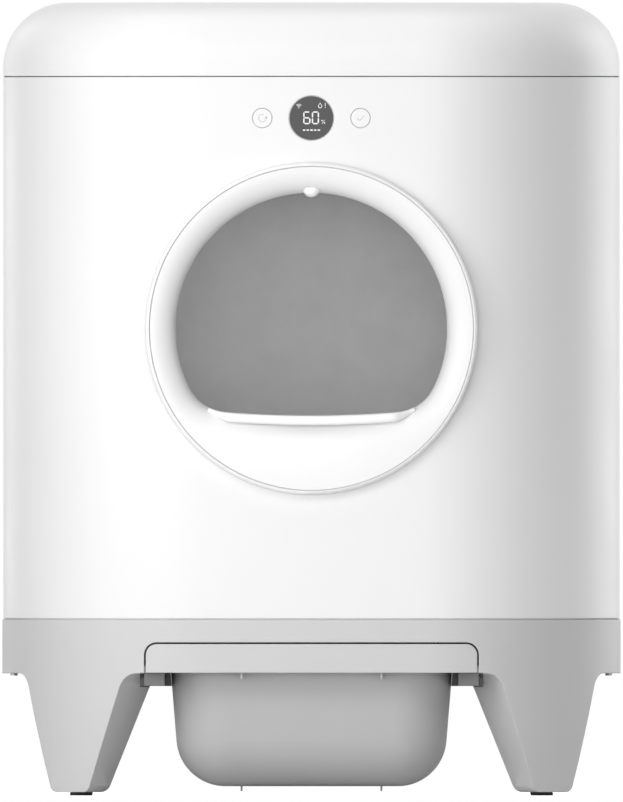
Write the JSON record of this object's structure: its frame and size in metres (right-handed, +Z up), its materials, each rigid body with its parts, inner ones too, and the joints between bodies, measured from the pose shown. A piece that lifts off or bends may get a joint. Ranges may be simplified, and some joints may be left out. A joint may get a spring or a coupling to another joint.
{
  "type": "self-cleaning litter box",
  "caption": "Self-cleaning litter box: a turning sieve drum in a rounded housing on legs, with a round entrance, a display, a slide-out waste drawer and a lift-off lid.",
  "frame": {"origin": "on the floor under the middle of the object's bounding box", "axes": "+Z up, the entrance faces -Y, +X to the right when facing the entrance"},
  "size_m": [0.504, 0.532, 0.646],
  "materials": {
    "white_shell": "satin",
    "light_grey_shell": "satin",
    "bin_grey": "satin",
    "drum_grey": "matte",
    "dark_lens": "gloss",
    "black_rubber": "matte",
    "grey_rubber": "matte",
    "nylon": "satin",
    "circuit_board": "satin",
    "black_plastic": "satin",
    "steel": "brushed",
    "aluminium": "satin",
    "clear_plastic": "satin"
  },
  "bodies": {
    "housing": {"base_frame": "light_grey_shell", "foot_pads": "black_rubber", "load_cells": "aluminium", "deck_plate": "bin_grey", "waste_chute": "bin_grey", "chute_seal": "black_rubber", "roller_brackets": "nylon", "roller_axles": "steel", "front_shell": "white_shell", "rear_shell": "white_shell", "entrance_ring": "white_shell", "sensor_pod": "white_shell", "display_lens": "dark_lens", "display_module": "black_plastic", "display_board": "circuit_board", "button_switches": "black_plastic", "home_sensor": "black_plastic", "gearbox": "black_plastic", "drive_motor": "steel", "motor_bracket": "steel", "drawer_rails": "nylon", "drawer_sensor": "black_plastic", "main_board": "circuit_board", "dc_socket": "black_plastic", "spray_tank": "clear_plastic", "tank_cap": "white_shell", "spray_pump": "black_plastic", "spray_nozzle": "nylon", "spray_tube": "clear_plastic", "case_screws": "steel", "small_screws": "steel"},
    "drum": {"drum_front_half": "drum_grey", "drum_rear_half": "drum_grey", "drum_screws": "steel", "port_frame": "grey_rubber", "sieve_plate": "drum_grey", "ring_gear": "nylon", "home_magnet": "steel"},
    "pinion": {"drive_pinion": "nylon"},
    "drawer": {"waste_bin": "bin_grey", "bin_front": "light_grey_shell", "bag_frame": "light_grey_shell"},
    "lid": {"lid_shell": "white_shell", "lid_seal": "grey_rubber"},
    "left_button": {"menu_button": "white_shell"},
    "right_button": {"ok_button": "white_shell"},
    "front_left_roller": {"roller_front_left": "nylon", "tyre_front_left": "grey_rubber"},
    "front_right_roller": {"roller_front_right": "nylon", "tyre_front_right": "grey_rubber"},
    "rear_left_roller": {"roller_rear_left": "nylon", "tyre_rear_left": "grey_rubber"},
    "rear_right_roller": {"roller_rear_right": "nylon", "tyre_rear_right": "grey_rubber"}
  },
  "joints": [
    {"name": "drum_spin", "type": "hinge", "parent": "housing", "child": "drum", "pos_m": [0, 0, 0.3804], "axis": [0, 1, 0], "continuous": true},
    {"name": "pinion_spin", "type": "hinge", "parent": "housing", "child": "pinion", "pos_m": [0.18339, 0, 0.19049], "axis": [0, 1, 0], "continuous": true},
    {"name": "front_left_roller_spin", "type": "hinge", "parent": "housing", "child": "front_left_roller", "pos_m": [-0.1284, 0, 0.17492], "axis": [0, 1, 0], "continuous": true},
    {"name": "front_right_roller_spin", "type": "hinge", "parent": "housing", "child": "front_right_roller", "pos_m": [0.1284, 0, 0.17492], "axis": [0, 1, 0], "continuous": true},
    {"name": "rear_left_roller_spin", "type": "hinge", "parent": "housing", "child": "rear_left_roller", "pos_m": [-0.1284, 0, 0.17492], "axis": [0, 1, 0], "continuous": true},
    {"name": "rear_right_roller_spin", "type": "hinge", "parent": "housing", "child": "rear_right_roller", "pos_m": [0.1284, 0, 0.17492], "axis": [0, 1, 0], "continuous": true},
    {"name": "drawer_slide", "type": "slide", "parent": "housing", "child": "drawer", "axis": [0, -1, 0], "range_m": [0, 0.34]},
    {"name": "lid_lift", "type": "slide", "parent": "housing", "child": "lid", "axis": [0, 0, 1], "range_m": [0, 0.12]},
    {"name": "left_button_press", "type": "slide", "parent": "housing", "child": "left_button", "axis": [0, 1, 0], "range_m": [0, 0.0008], "stiffness_N_per_m": 600, "springref_m": -0.0008},
    {"name": "right_button_press", "type": "slide", "parent": "housing", "child": "right_button", "axis": [0, 1, 0], "range_m": [0, 0.0008], "stiffness_N_per_m": 600, "springref_m": -0.0008}
  ],
  "couplings": [
    {"joint": "pinion_spin", "follows": "drum_spin", "ratio": -8.4286},
    {"joint": "front_left_roller_spin", "follows": "drum_spin", "ratio": -16.286},
    {"joint": "front_right_roller_spin", "follows": "drum_spin", "ratio": -16.286},
    {"joint": "rear_left_roller_spin", "follows": "drum_spin", "ratio": -16.286},
    {"joint": "rear_right_roller_spin", "follows": "drum_spin", "ratio": -16.286}
  ]
}
